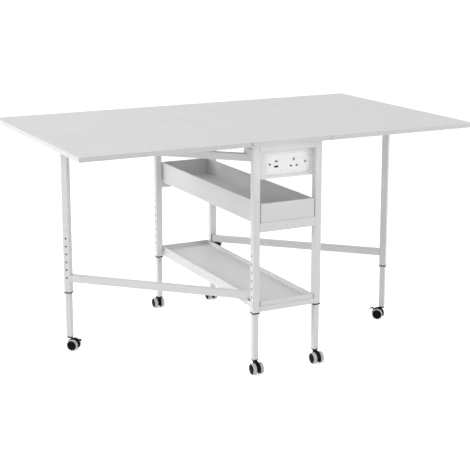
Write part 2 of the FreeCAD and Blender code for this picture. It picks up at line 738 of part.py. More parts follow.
def flat_bar(start, end, width):
    """A bar with round ends between two points of the lever's side view."""
    along = end - start
    half = LEVER_THICK / 2
    across = vec(0, width / 2, 0)
    bar = box(0, along.Length, -width / 2, width / 2, -half, half)
    bar.rotate(vec(0, 0, 0), vec(0, 1, 0), -math.degrees(math.atan2(along.z, along.x)))
    bar.translate(start)
    return bar.fuse([rod(LEVER_THICK, p - across, p + across) for p in (start, end)])


def brake_lever():
    """The lever: a hub on its pin, an arm that climbs to a knee, and a pedal that slopes away from it."""
    p = lever_pivot()
    half = LEVER_ARM_WIDTH / 2
    across = vec(0, 1, 0)
    hub = rod(LEVER_HUB_DIA, p - across * half, p + across * half)
    pin_half = HOOD_WIDTH / 2 - LEVER_SLOT_GAP
    pin = rod(LEVER_PIN_DIA, p - across * pin_half, p + across * pin_half)
    knee = p + vec(KNEE_OUT, 0, KNEE_UP)
    tip = p + vec(PEDAL_OUT, 0, PEDAL_UP)
    bars = [flat_bar(p, knee, LEVER_ARM_WIDTH), flat_bar(knee, tip, PEDAL_WIDTH)]
    return hub.fuse([pin] + bars).removeSplitter()


def wheel(side):
    """One wheel: a dished hub face, a rounded tread, and a blind bore for the axle from inside."""
    inner = HOOD_WIDTH / 2 + WHEEL_SIDE_GAP
    outer = inner + WHEEL_WIDTH
    r = WHEEL_DIA / 2
    hub = WHEEL_HUB_DIA / 2
    bore = AXLE_DIA / 2 + AXLE_GAP
    floor = outer - WHEEL_CAP + STEM_PLAY
    points = [
        (bore, inner),
        (r - WHEEL_ROUND, inner),
        (r, inner + WHEEL_ROUND),
        (r, outer - WHEEL_ROUND),
        (r - WHEEL_ROUND, outer),
        (hub, outer),
        (hub - WHEEL_DISH, outer - WHEEL_DISH),
        (hub / 2, outer - WHEEL_DISH),
        (0, outer),
        (0, floor),
        (bore, floor),
    ]
    outline = Part.makePolygon([vec(a, side * b, 0) for a, b in points + points[:1]])
    shape = Part.Face(outline).revolve(vec(0, 0, 0), vec(0, 1, 0), 360)
    shape.translate(vec(CASTER_TRAIL, 0, WHEEL_DIA / 2))
    return Part.Solid(shape) if shape.ShapeType != "Solid" else shape


# ---- the whole table ----------------------------------------------------------------------------
def leg_places():
    """Name, place and turn of the six legs, and which way each caster trails."""
    lean = math.radians(GATE_ANGLE)
    gate_x = PIVOT_X - GATE_ARM * math.sin(lean)
    gate_y = PIVOT_Y + GATE_ARM * math.cos(lean)
    return [
        ("near_left", -LEG_X, -LEG_Y, 0, -90),
        ("near_right", LEG_X, -LEG_Y, 180, -90),
        ("far_left", -LEG_X, LEG_Y, 0, 90),
        ("far_right", LEG_X, LEG_Y, 180, 90),
        ("gate_left", gate_x, gate_y, GATE_ANGLE, -GATE_ANGLE),
        ("gate_right", -gate_x, -gate_y, GATE_ANGLE + 180, 180 - GATE_ANGLE),
    ]


def write_boards():
    write("top_fixed", fixed_board())
    leaf = board(FIXED_WIDTH / 2 + SEAM, TOP_LENGTH / 2)
    write("leaf_right", leaf)
    write("leaf_left", half_turn(leaf))
    fixed = [hinge_half(y, -1) for y in hinge_places()]
    write("hinge_plates_fixed", *fixed, *[half_turn(h) for h in fixed])
    moving = [hinge_half(y, 1) for y in hinge_places()]
    write("hinge_plates_right", *moving)
    write("hinge_plates_left", *[half_turn(h) for h in moving])
    pins = [hinge_pin(y) for y in hinge_places()]
    write("hinge_pins", *pins, *[half_turn(p) for p in pins])


def write_frame():
    """The four upper legs, the rails between them, and what the rails carry."""
    upright = holed_tube(UNDERSIDE)
    collars = []
    for name, x, y, turn, _ in leg_places()[:4]:
        write("leg_" + name, turned(upright, turn, x, y))
        collars.append(turned(collar(), turn, x, y))
    write("leg_collars", *collars)
    write("rail_top_near", top_rail(-LEG_Y))
    write("rail_top_far", top_rail(LEG_Y))
    tray_rail = cross_rail(TRAY_RAIL_HEIGHT, TRAY_FLOOR - TRAY_RAIL_HEIGHT, -LEG_Y)
    shelf_rail = cross_rail(SHELF_RAIL_HEIGHT, SHELF_FLOOR - SHELF_RAIL_HEIGHT, -LEG_Y)
    write("tray_rails", *both(drilled(tray_rail, tray_bolts(-LEG_Y))))
    write("shelf_rails", *both(drilled(shelf_rail, shelf_bolts(-LEG_Y))))
    write("tray", sheet_tray(TRAY_RIM_HEIGHT, TRAY_DEPTH, TRAY_SKIRT, TRAY_LIP))
    write("shelf", sheet_tray(SHELF_RIM_HEIGHT, SHELF_DEPTH, SHELF_SKIRT, SHELF_LIP))
    bolts = [board_bolt(x, y) for x, y in board_bolt_places()]
    for y in (-LEG_Y, LEG_Y):
        bolts += [face_bolt(*place) for place in tray_bolts(y) + shelf_bolts(y)]
    write("frame_screws", *bolts)


def write_outlet():
    write("power_plate", power_plate())
    write("outlet_face", outlet_face())
    write("outlet_box", outlet_box())
    write("outlet_screws", *[outlet_screw(x) for x in outlet_screw_places()])


def write_gates():
    """Both gates and their pivots; the right gate is the left one after half a turn."""
    pieces = {
        "gate_leg": [gate_leg()],
        "gate_rail_low": [gate_rail(GATE_RAIL_LOW)],
        "gate_rail_top": [gate_rail(GATE_RAIL_HIGH)],
        "gate_caps": [rail_cap(GATE_RAIL_LOW), rail_cap(GATE_RAIL_HIGH), top_cap(), gate_collar()],
    }
    for name, shapes in pieces.items():
        opened = [hung(s) for s in shapes]
        write(name + "_left", *opened)
        write(name + "_right", *[half_turn(s) for s in opened])
    for name, make in (("brackets", gate_bracket), ("blocks", gate_block), ("pins", gate_pin)):
        left = [make(z, way) for z, way in pivot_places()]
        write("gate_" + name, *left, *[half_turn(s) for s in left])


def write_feet():
    """Each leg's lower tube with its plug, snap button and caster."""
    wheels = [wheel(-1), wheel(1)]
    lever = brake_lever()
    for name, x, y, turn, trail in leg_places():
        gate = name.startswith("gate")
        write("foot_" + name, turned(foot_tube(), turn, x, y), turned(foot_plug(), turn, x, y))
        write("snap_button_" + name, turned(snap_button(), turn, x, y))
        write("caster_hood_" + name, turned(hood(gate), trail, x, y))
        write("caster_wheels_" + name, *[turned(w, trail, x, y) for w in wheels])
        if gate:
            write("brake_lever_" + name, turned(lever, trail, x, y))


os.makedirs("parts", exist_ok=True)
write_boards()
write_frame()
write_outlet()
write_gates()
write_feet()
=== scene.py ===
import math

import bmesh
import bpy
from mathutils import Matrix, Vector


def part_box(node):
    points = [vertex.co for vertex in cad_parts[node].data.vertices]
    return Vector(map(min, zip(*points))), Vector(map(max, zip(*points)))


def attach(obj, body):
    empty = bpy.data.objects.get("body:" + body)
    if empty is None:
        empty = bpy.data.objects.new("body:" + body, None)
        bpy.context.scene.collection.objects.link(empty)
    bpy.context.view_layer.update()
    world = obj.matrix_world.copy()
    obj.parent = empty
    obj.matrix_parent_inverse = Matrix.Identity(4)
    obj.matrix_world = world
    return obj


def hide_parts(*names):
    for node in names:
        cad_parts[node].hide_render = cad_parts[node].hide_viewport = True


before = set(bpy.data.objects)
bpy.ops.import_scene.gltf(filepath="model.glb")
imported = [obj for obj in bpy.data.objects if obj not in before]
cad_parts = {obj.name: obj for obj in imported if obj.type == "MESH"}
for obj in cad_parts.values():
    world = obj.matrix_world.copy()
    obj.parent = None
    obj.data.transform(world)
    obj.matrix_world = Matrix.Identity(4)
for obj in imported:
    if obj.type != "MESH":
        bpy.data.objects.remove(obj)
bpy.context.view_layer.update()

# ---- camera ------------------------------------------------------------------
# A long lens on a stand a little higher than the table, off its near-left
# corner, turned towards the outlet end and tipped slightly down.
CAMERA_PLACE = (-1.965, -3.868, 1.492)
CAMERA_HEADING = math.radians(27.09)
CAMERA_DIP = math.radians(12.11)
LENS_PER_FRAME = 1203 / 470
SENSOR = 36.0
LENS_SHIFT = -0.10
SEEN_FROM, SEEN_TO = 0.05, 200.0

lens = bpy.data.cameras.new("studio_camera")
lens.sensor_width = SENSOR
lens.lens = LENS_PER_FRAME * SENSOR
lens.shift_y = LENS_SHIFT
lens.clip_start = SEEN_FROM
lens.clip_end = SEEN_TO
camera = bpy.data.objects.new("studio_camera", lens)
camera.location = CAMERA_PLACE
camera.rotation_euler = (math.pi / 2 - CAMERA_DIP, 0.0, -CAMERA_HEADING)
bpy.context.scene.collection.objects.link(camera)
bpy.context.scene.camera = camera
bpy.context.scene.view_settings.view_transform = "Standard"

# ---- studio ------------------------------------------------------------------
# A seamless white floor under an even white sky, three large soft lamps off the
# left end, behind it and off the front right, and a narrow one on the outlet.
FLOOR_SIZE = 90.0
FLOOR_SHADE = (0.90, 0.90, 0.90, 1.0)
FLOOR_GLOW = 0.62
SKY_LIGHT = 0.55
WHITE = (1.0, 1.0, 1.0, 1.0)
LAMP_AIM = (0.0, 0.0, 0.5)
# name, place, size and power
LAMPS = [
    ("softbox_left", (-7.9, -0.5, 5.1), 4.5, 217.0),
    ("softbox_back_left", (-6.0, 5.0, 3.0), 3.0, 183.0),
    ("softbox_front_right", (5.0, -5.0, 2.0), 3.0, 108.0),
]
SNOOT_PLACE = (-2.2, -3.2, 1.0)
SNOOT_AIM = (0.0, -0.40, 0.705)
SNOOT_CONE = math.radians(3.4)
SNOOT_EDGE = 0.3
SNOOT_SIZE = 0.04
SNOOT_POWER = 84.0


def seen_directly(nodes, links):
    """1 for rays that show the background: straight to the eye, off gloss or through glass."""
    path = nodes.new("ShaderNodeLightPath")
    shown = path.outputs["Is Camera Ray"]
    for ray in ("Is Glossy Ray", "Is Transmission Ray"):
        either = nodes.new("ShaderNodeMath")
        either.operation = "MAXIMUM"
        links.new(shown, either.inputs[0])
        links.new(path.outputs[ray], either.inputs[1])
        shown = either.outputs[0]
    return shown


sky = bpy.data.worlds.new("studio_sky")
sky.use_nodes = True
bpy.context.scene.world = sky
nodes, links = sky.node_tree.nodes, sky.node_tree.links
nodes.clear()
layers = []
for strength in (SKY_LIGHT, 1.0):
    layer = nodes.new("ShaderNodeBackground")
    layer.inputs["Color"].default_value = WHITE
    layer.inputs["Strength"].default_value = strength
    layers.append(layer)
both = nodes.new("ShaderNodeMixShader")
links.new(seen_directly(nodes, links), both.inputs["Fac"])
links.new(layers[0].outputs[0], both.inputs[1])
links.new(layers[1].outputs[0], both.inputs[2])
links.new(both.outputs[0], nodes.new("ShaderNodeOutputWorld").inputs["Surface"])

bpy.ops.object.select_all(action="DESELECT")
bpy.ops.mesh.primitive_plane_add(size=FLOOR_SIZE)
floor = bpy.context.object
floor.name = "studio_floor"
paint = bpy.data.materials.new("studio_floor")
paint.use_nodes = True
nodes, links = paint.node_tree.nodes, paint.node_tree.links
nodes.clear()
matt = nodes.new("ShaderNodeBsdfDiffuse")
matt.inputs["Color"].default_value = FLOOR_SHADE
glow = nodes.new("ShaderNodeEmission")
glow.inputs["Color"].default_value = WHITE
level = nodes.new("ShaderNodeMath")
level.operation = "MULTIPLY"
level.inputs[1].default_value = FLOOR_GLOW
links.new(seen_directly(nodes, links), level.inputs[0])
links.new(level.outputs[0], glow.inputs["Strength"])
total = nodes.new("ShaderNodeAddShader")
links.new(matt.outputs[0], total.inputs[0])
links.new(glow.outputs[0], total.inputs[1])
links.new(total.outputs[0], nodes.new("ShaderNodeOutputMaterial").inputs["Surface"])
floor.data.materials.append(paint)


def stand_lamp(lamp, place, aim):
    """Hangs a lamp at a place, turned to what it lights."""
    stand = bpy.data.objects.new(lamp.name, lamp)
    stand.location = place
    stand.rotation_euler = (Vector(aim) - Vector(place)).to_track_quat("-Z", "Y").to_euler()
    bpy.context.scene.collection.objects.link(stand)


for name, place, size, power in LAMPS:
    softbox = bpy.data.lights.new(name, "AREA")
    softbox.size = size
    softbox.energy = power
    stand_lamp(softbox, place, LAMP_AIM)
snoot = bpy.data.lights.new("snoot", "SPOT")
snoot.spot_size = SNOOT_CONE
snoot.spot_blend = SNOOT_EDGE
snoot.shadow_soft_size = SNOOT_SIZE
snoot.energy = SNOOT_POWER
stand_lamp(snoot, SNOOT_PLACE, SNOOT_AIM)

# ---- work boards -------------------------------------------------------------
# Three 16 mm particle boards, edged all round with a glued strip of white plastic
# and faced above and below with white laminate that runs out over the strip. Rims
# and upright corners are eased.
NEARLY = 1e-6
# how closely a face must face an axis to be picked
SQUARE_ON = 0.9
EDGE_BAND = 0.0009
CORNER_EASED = 0.0010
RIM_EASED = 0.0004
SKIN = 0.0007
GLUE_LINE = 0.00003
BOARDS = {"top_fixed": "frame", "leaf_left": "leaf_left", "leaf_right": "leaf_right"}


def only(obj):
    bpy.ops.object.select_all(action="DESELECT")
    obj.select_set(True)
    bpy.context.view_layer.objects.active = obj


def settled(obj, name):
    """Names a piece and puts its place, turn and size into its mesh."""
    only(obj)
    obj.name = name
    obj.data.name = name
    bpy.ops.object.transform_apply(location=True, rotation=True, scale=True)
    return obj


def sawn(name, low, high):
    """A block between two corners."""
    low, high = Vector(low), Vector(high)
    bpy.ops.object.select_all(action="DESELECT")
    bpy.ops.mesh.primitive_cube_add(size=1.0, location=(low + high) / 2)
    bpy.context.object.scale = high - low
    return settled(bpy.context.object, name)


def pick(obj, kind, test):
    """Opens a piece for editing with the faces or edges selected that the test accepts."""
    only(obj)
    bpy.ops.object.mode_set(mode="EDIT")
    bpy.ops.mesh.select_mode(type=kind)
    bpy.ops.mesh.select_all(action="DESELECT")
    mesh = bmesh.from_edit_mesh(obj.data)
    for part in mesh.faces if kind == "FACE" else mesh.edges:
        if test(part):
            part.select_set(True)
    bmesh.update_edit_mesh(obj.data)


def done(obj):
    bpy.ops.object.mode_set(mode="OBJECT")
    return obj


def middle(edge):
    return (edge.verts[0].co + edge.verts[1].co) / 2


def along(edge, axis):
    """True where an edge runs along X (0), Y (1) or Z (2)."""
    run = edge.verts[1].co - edge.verts[0].co
    return abs(abs(run[axis]) - run.length) < NEARLY / 10


def bevelled(obj, width, segments, test):
    pick(obj, "EDGE", test)
    bpy.ops.mesh.bevel(offset=width, offset_type="OFFSET", segments=segments, affect="EDGES")
    return done(obj)


def hollowed(obj, wall, axis):
    """Turns a block into a ring of the given wall that is open at both ends of one axis."""
    pick(obj, "FACE", lambda f: abs(f.normal[axis]) > SQUARE_ON)
    bpy.ops.mesh.inset(thickness=wall)
    bpy.ops.mesh.delete(type="FACE")
    bpy.ops.mesh.select_mode(type="EDGE")
    bpy.ops.mesh.select_all(action="DESELECT")
    bpy.ops.mesh.select_non_manifold()
    bpy.ops.mesh.bridge_edge_loops()
    return done(obj)


def shaded(obj, material, body, slot, *nodes, angle=35):
    """Gives a finished piece its shading, material and body, and hides the nodes it stands for."""
    only(obj)
    bpy.ops.object.shade_smooth_by_angle(angle=math.radians(angle))
    flats = obj.modifiers.new("flats_stay_flat", "WEIGHTED_NORMAL")
    flats.keep_sharp = True
    flats.weight = 100
    bpy.ops.object.modifier_apply(modifier=flats.name)
    obj.data.materials.clear()
    obj.data.materials.append(material)
    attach(obj, body)
    if nodes:
        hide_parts(*nodes)
    return obj


def new_finish(name):
    """An empty finish with its shader, its pattern space and a short way to add nodes."""
    mat = bpy.data.materials.new(name)
    mat.use_nodes = True
    nodes, links = mat.node_tree.nodes, mat.node_tree.links
    space = nodes.new("ShaderNodeTexCoord").outputs["Object"]

    def add(kind, inputs=None, **settings):
        node = nodes.new("ShaderNode" + kind)
        for key, value in settings.items():
            setattr(node, key, value)
        for key, value in (inputs or {}).items():
            if isinstance(value, bpy.types.NodeSocket):
                links.new(value, node.inputs[key])
            else:
                node.inputs[key].default_value = value
        return node

    return mat, nodes["Principled BSDF"], space, add, links


def ramp(add, source, stops):
    """A colour or level that follows a pattern, from stops of place and shade."""
    node = add("ValToRGB", {"Fac": source})
    band = node.color_ramp
    while len(band.elements) < len(stops):
        band.elements.new(0.5)
    for element, (place, shade) in zip(band.elements, stops):
        element.position = place
        element.color = (*shade, 1.0) if isinstance(shade, tuple) else (shade, shade, shade, 1.0)
    return node.outputs["Color"]


def laminate_finish():
    """Melamine: cool white with the faintest cloudiness, pores of the press plate and dust rubs."""
    mat, skin, space, add, links = new_finish("white_laminate")
    clouds = add("TexNoise", {"Vector": space, "Scale": 5.0, "Detail": 6.0, "Roughness": 0.6})
    tone = ramp(add, clouds.outputs["Fac"], [(0.3, (0.765, 0.768, 0.785)), (0.7, (0.79, 0.793, 0.808))])
    links.new(tone, skin.inputs["Base Color"])
    pores = add("TexVoronoi", {"Vector": space, "Scale": 1400.0})
    cells = add("TexNoise", {"Vector": space, "Scale": 420.0, "Detail": 3.0})
    rubs = add("TexNoise", {"Vector": space, "Scale": 11.0, "Detail": 8.0, "Roughness": 0.75})
    gloss = ramp(add, rubs.outputs["Fac"], [(0.3, 0.36), (0.55, 0.42), (0.75, 0.5)])
    links.new(gloss, skin.inputs["Roughness"])
    low = add("Bump", {"Strength": 0.25, "Distance": 0.0001, "Height": cells.outputs["Fac"]})
    top = add(
        "Bump",
        {"Strength": 0.35, "Distance": 0.00005, "Height": pores.outputs["Distance"],
         "Normal": low.outputs["Normal"]},
    )
    links.new(top.outputs["Normal"], skin.inputs["Normal"])
    skin.inputs["Specular IOR Level"].default_value = 0.45
    return mat


def edge_finish():
    """Edge strip: a slightly warmer extruded plastic with faint scraper lines along its length."""
    mat, skin, space, add, links = new_finish("edge_strip")
    clouds = add("TexNoise", {"Vector": space, "Scale": 9.0, "Detail": 4.0})
    tone = ramp(add, clouds.outputs["Fac"], [(0.3, (0.69, 0.687, 0.672)), (0.7, (0.715, 0.712, 0.698))])
    links.new(tone, skin.inputs["Base Color"])
    stretched = add("Mapping", {"Vector": space, "Scale": (3.0, 3.0, 900.0)})
    scrape = add("TexNoise", {"Vector": stretched.outputs["Vector"], "Scale": 1.0, "Detail": 3.0})
    gloss = ramp(add, scrape.outputs["Fac"], [(0.3, 0.34), (0.7, 0.46)])
    links.new(gloss, skin.inputs["Roughness"])
    lines = add("Bump", {"Strength": 0.2, "Distance": 0.0001, "Height": scrape.outputs["Fac"]})
    links.new(lines.outputs["Normal"], skin.inputs["Normal"])
    return mat


laminate = laminate_finish()
edge_strip = edge_finish()
for node, body in BOARDS.items():
    low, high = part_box(node)
    cuts = (low.z + SKIN, high.z - SKIN)
    panel = bevelled(sawn(node + "_panel", low, high), CORNER_EASED, 2, lambda e: along(e, 2))
    bevelled(panel, RIM_EASED, 2, lambda e: not along(e, 2))
    for cut_z in cuts:
        pick(panel, "FACE", lambda f: True)
        bpy.ops.mesh.bisect(plane_co=(0, 0, cut_z), plane_no=(0, 0, 1))
        done(panel)
    pick(panel, "FACE", lambda f: cuts[0] < f.calc_center_median().z < cuts[1])
    groove = {"value": -EDGE_BAND - GLUE_LINE, "use_even_offset": True}
    bpy.ops.mesh.extrude_region_shrink_fatten(TRANSFORM_OT_shrink_fatten=groove)
    done(panel)
    shaded(panel, laminate, body, "laminate", node)
    room = Vector((0.0, 0.0, SKIN + GLUE_LINE))
    band = hollowed(sawn(node + "_edge_strip", low + room, high - room), EDGE_BAND, 2)
    reach = (high - low).x / 2 - EDGE_BAND / 2
    heart = (high + low).x / 2
    bevelled(band, CORNER_EASED, 2, lambda e: along(e, 2) and abs(middle(e).x - heart) > reach)
    shaded(band, edge_strip, body, "laminate", node)

# ---- leaf hinges -------------------------------------------------------------
# Six zinc-plated steel butt hinges under the joints, each leaf's and the centre
# board's plates held by three cross-head screws driven up into the boards.
HINGE_NODES = {
    "hinge_plates_fixed": "frame", "hinge_plates_left": "leaf_left", "hinge_plates_right": "leaf_right",
}
HINGE_AXIS_X = 0.151
HINGE_ROWS = (-0.365, 0.0, 0.365)
HINGE_FACE_Z = 0.7964
# of a screw head: diameter and height
HINGE_SCREW = (0.0062, 0.0009)
HINGE_SCREW_OUT = 0.016
HINGE_SCREW_STEP = 0.021
SCREW_SIDES = 28
# rounding of the head's rim and floor of its cross, in shares of its height
HEAD_ROUND, CROSS_FLOOR = 0.7, 0.35
# reach and half width of the cross's arms, in shares of the head's diameter
CROSS_REACH, CROSS_SLIM = 0.27, 0.055
FLAT_END_CORNERS = 8


def dress(material, *names):
    """Puts a finish on nodes of the frame that are shown as they are."""
    for name in names:
        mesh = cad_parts[name].data
        mesh.materials.clear()
        mesh.materials.append(material)


def plate_finish(name, dull, bright):
    """Plated steel: drawn grain, small brushed lines and a patchy gloss."""
    mat, skin, space, add, links = new_finish(name)
    patches = add("TexNoise", {"Vector": space, "Scale": 60.0, "Detail": 5.0})
    tone = ramp(add, patches.outputs["Fac"], [(0.3, dull), (0.7, bright)])
    links.new(tone, skin.inputs["Base Color"])
    skin.inputs["Metallic"].default_value = 1.0
    drawn = add("Mapping", {"Vector": space, "Scale": (1500.0, 90.0, 1500.0)})
    grain = add("TexNoise", {"Vector": drawn.outputs["Vector"], "Scale": 1.0, "Detail": 2.0})
    gloss = ramp(add, grain.outputs["Fac"], [(0.3, 0.26), (0.7, 0.42)])
    links.new(gloss, skin.inputs["Roughness"])
    lines = add("Bump", {"Strength": 0.25, "Distance": 0.00008, "Height": grain.outputs["Fac"]})
    links.new(lines.outputs["Normal"], skin.inputs["Normal"])
    return mat


def joined(name, pieces):
    """One mesh from several."""
    only(pieces[0])
    for piece in pieces[1:]:
        piece.select_set(True)
    if len(pieces) > 1:
        bpy.ops.object.join()
    return settled(pieces[0], name)


def copied(master, place):
    """A copy with its own mesh, moved and turned by a matrix."""
    twin = master.copy()
    twin.data = master.data.copy()
    twin.data.transform(place)
    bpy.context.scene.collection.objects.link(twin)
    return twin


def dropped(*pieces):
    for piece in pieces:
        bpy.data.objects.remove(piece)


def cut(obj, tool, operation="DIFFERENCE"):
    """Cuts one piece with another, which is used up."""
    only(obj)
    change = obj.modifiers.new("cut", "BOOLEAN")
    change.operation = operation
    change.object = tool
    change.solver = "EXACT"
    bpy.ops.object.modifier_apply(modifier=change.name)
    dropped(tool)
    return obj


def turned_rod(name, radius, depth, sides=SCREW_SIDES):
    """A round bar along Z with its base at the origin."""
    heart = (0, 0, depth / 2)
    bpy.ops.object.select_all(action="DESELECT")
    bpy.ops.mesh.primitive_cylinder_add(vertices=sides, radius=radius, depth=depth, location=heart)
    return settled(bpy.context.object, name)


def flat_end(face):
    """True for the many-cornered face at an end of a turned piece."""
    return len(face.verts) > FLAT_END_CORNERS


def rim(edge):
    """True for an edge round a flat end of a turned piece."""
    return any(flat_end(face) for face in edge.link_faces)


def screw_head(dia, rise):
    """A pan head that faces +Z from the origin, its rim rounded and a cross punched in its crown."""
    head = turned_rod("screw_head", dia / 2, rise)
    bevelled(head, rise * HEAD_ROUND, 3, lambda e: middle(e).z > rise - NEARLY)
    arm, slim = dia * CROSS_REACH, dia * CROSS_SLIM
    cross = sawn("cross", (-arm, -slim, rise * CROSS_FLOOR), (arm, slim, rise * 2))
    other = sawn("cross_arm", (-slim, -arm, rise * CROSS_FLOOR), (slim, arm, rise * 2))
    return cut(cut(head, cross), other)


def facing(direction, place):
    """The place of a piece drawn along +Z, turned to face a direction."""
    return Matrix.Translation(place) @ Vector(direction).to_track_quat("Z", "Y").to_matrix().to_4x4()


zinc = plate_finish("zinc_plate", (0.55, 0.56, 0.58), (0.68, 0.68, 0.69))
small_head = screw_head(*HINGE_SCREW)
for node, body in HINGE_NODES.items():
    dress(zinc, node)
    sides = {"frame": (-1, 1), "leaf_left": (-1,), "leaf_right": (1,)}[body]
    out = HINGE_AXIS_X + (-HINGE_SCREW_OUT if body == "frame" else HINGE_SCREW_OUT)
    spots = [
        (side * out, y + step * HINGE_SCREW_STEP, HINGE_FACE_Z)
        for side in sides for y in HINGE_ROWS for step in (-1, 0, 1)
    ]
    heads = [copied(small_head, facing((0, 0, -1), spot)) for spot in spots]
    shaded(joined("hinge_screws_" + node.split("_")[-1], heads), zinc, body, "zinc")
dropped(small_head)
dress(zinc, "hinge_pins")

# ---- welded frame ------------------------------------------------------------
# Square steel legs, punched with setting holes, and the rails between them, welded
# up and powder-coated white; so are the gates. The legs are bare steel inside,
# painted dark there as painted shade for the walls of the setting holes.
RAILS = [
    "rail_top_near", "rail_top_far", "tray_rails", "shelf_rails", "gate_brackets",
    "gate_rail_low_left", "gate_rail_low_right", "gate_rail_top_left", "gate_rail_top_right",
]
LEG_TURNS = {
    "leg_near_left": 0, "leg_near_right": 0, "leg_far_left": 0, "leg_far_right": 0,
    "gate_leg_left": -45, "gate_leg_right": -45,
}
LEG_HALF = 0.0125
LEG_CORNER = 0.0045
COAT_THICK = 0.0002
COAT_SHADE = (0.80, 0.80, 0.805)
COAT_DARKER = (0.775, 0.775, 0.78)
# the inside of the legs: bare steel, darkened as painted shade for the setting holes
BARE_STEEL_PAINTED_SHADE = (0.10, 0.098, 0.096)
COAT_ROUGH = 0.42
# the colour sockets of a mix node: two that go in, one that comes out
MIX_FIRST, MIX_SECOND, MIX_RESULT = 6, 7, 2


def within_leg(add, space, leg):
    """1 inside a leg's tube, where the painted hole shade goes: under the coat of the flat sides, and
    clear of the rounded corners.
    """
    low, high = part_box(leg)
    from_axis = add("VectorMath", {0: space, 1: (low + high) / 2}, operation="SUBTRACT")
    squared = add("Mapping", {"Vector": from_axis.outputs[0]})
    squared.inputs["Rotation"].default_value = (0, 0, math.radians(LEG_TURNS[leg]))
    across = add("SeparateXYZ", {"Vector": squared.outputs[0]})
    reach = {
        nth: add("Math", {0: across.outputs[way]}, operation="ABSOLUTE").outputs[0]
        for nth, way in enumerate(("X", "Y"))
    }
    flats = add("Math", reach, operation="MAXIMUM")
    corners = add("Math", reach, operation="ADD")
    under = add("Math", {0: flats.outputs[0], 1: LEG_HALF - COAT_THICK}, operation="LESS_THAN")
    clear = add("Math", {0: corners.outputs[0], 1: 2 * LEG_HALF - LEG_CORNER}, operation="LESS_THAN")
    return add("Math", {0: under.outputs[0], 1: clear.outputs[0]}, operation="MULTIPLY").outputs[0]


def coat_finish(name, shade, darker, rough, leg=None):
    """Powder coat: orange peel over a fine stipple, gloss in soft patches, tone a touch uneven."""
    mat, skin, space, add, links = new_finish(name)
    clouds = add("TexNoise", {"Vector": space, "Scale": 7.0, "Detail": 5.0, "Roughness": 0.6})
    tone = ramp(add, clouds.outputs["Fac"], [(0.3, darker), (0.7, shade)])
    # inside the tube the tone turns to the dark bare steel, painted shade for the walls of the setting
    # holes
    if leg:
        inside_painted_shade = add("Mix", {"Factor": within_leg(add, space, leg)}, data_type="RGBA")
        links.new(tone, inside_painted_shade.inputs[MIX_FIRST])
        inside_painted_shade.inputs[MIX_SECOND].default_value = (*BARE_STEEL_PAINTED_SHADE, 1.0)
        tone = inside_painted_shade.outputs[MIX_RESULT]
    links.new(tone, skin.inputs["Base Color"])
    peel = add("TexNoise", {"Vector": space, "Scale": 260.0, "Detail": 2.0, "Roughness": 0.4})
    stipple = add("TexNoise", {"Vector": space, "Scale": 1500.0, "Detail": 2.0})
    gloss = ramp(add, peel.outputs["Fac"], [(0.3, rough - 0.05), (0.7, rough + 0.06)])
    links.new(gloss, skin.inputs["Roughness"])
    skins = add("Bump", {"Strength": 0.35, "Distance": 0.00015, "Height": peel.outputs["Fac"]})
    fine = add(
        "Bump",
        {"Strength": 0.2, "Distance": 0.00004, "Height": stipple.outputs["Fac"],
         "Normal": skins.outputs["Normal"]},
    )
    links.new(fine.outputs["Normal"], skin.inputs["Normal"])
    skin.inputs["Coat Weight"].default_value = 0.15
    skin.inputs["Coat Roughness"].default_value = 0.25
    return mat


dress(coat_finish("powder_coat", COAT_SHADE, COAT_DARKER, COAT_ROUGH), *RAILS)
# each leg's own coat, dark inside its tube as painted shade for its setting holes
for leg in LEG_TURNS:
    dress(coat_finish("powder_coat_hole_shade_" + leg, COAT_SHADE, COAT_DARKER, COAT_ROUGH, leg), leg)

# ---- plastic fittings --------------------------------------------------------
# Moulded black plastic: the bushes where the feet leave the legs, the glides and
# end caps of the gates, and a spacer block inside each bracket of the gates'
# hinges. The headed pivot pins through the blocks are zinc-plated steel.
BLOCK_SIZE = Vector((0.025, 0.035, 0.0172))
BLOCK_ROUND = 0.0025
BLOCK_EASED = 0.0004
PIVOT = Vector((0.1195, 0.374, 0.0))
PIVOT_RADIUS = 0.004


def plastic_finish(name, shade, paler, rough, speck, bump, shine=0.5):
    """Moulded plastic: spark-eroded grain, flow marks in the gloss and in the tone."""
    mat, skin, space, add, links = new_finish(name)
    flow = add("TexNoise", {"Vector": space, "Scale": 35.0, "Detail": 5.0, "Roughness": 0.65})
    tone = ramp(add, flow.outputs["Fac"], [(0.35, shade), (0.75, paler)])
    links.new(tone, skin.inputs["Base Color"])
    grain = add("TexNoise", {"Vector": space, "Scale": speck, "Detail": 2.0})
    gloss = ramp(add, flow.outputs["Fac"], [(0.3, rough - 0.06), (0.7, rough + 0.08)])
    links.new(gloss, skin.inputs["Roughness"])
    relief = add("Bump", {"Strength": bump, "Distance": 0.00008, "Height": grain.outputs["Fac"]})
    links.new(relief.outputs["Normal"], skin.inputs["Normal"])
    skin.inputs["Specular IOR Level"].default_value = shine
    return mat


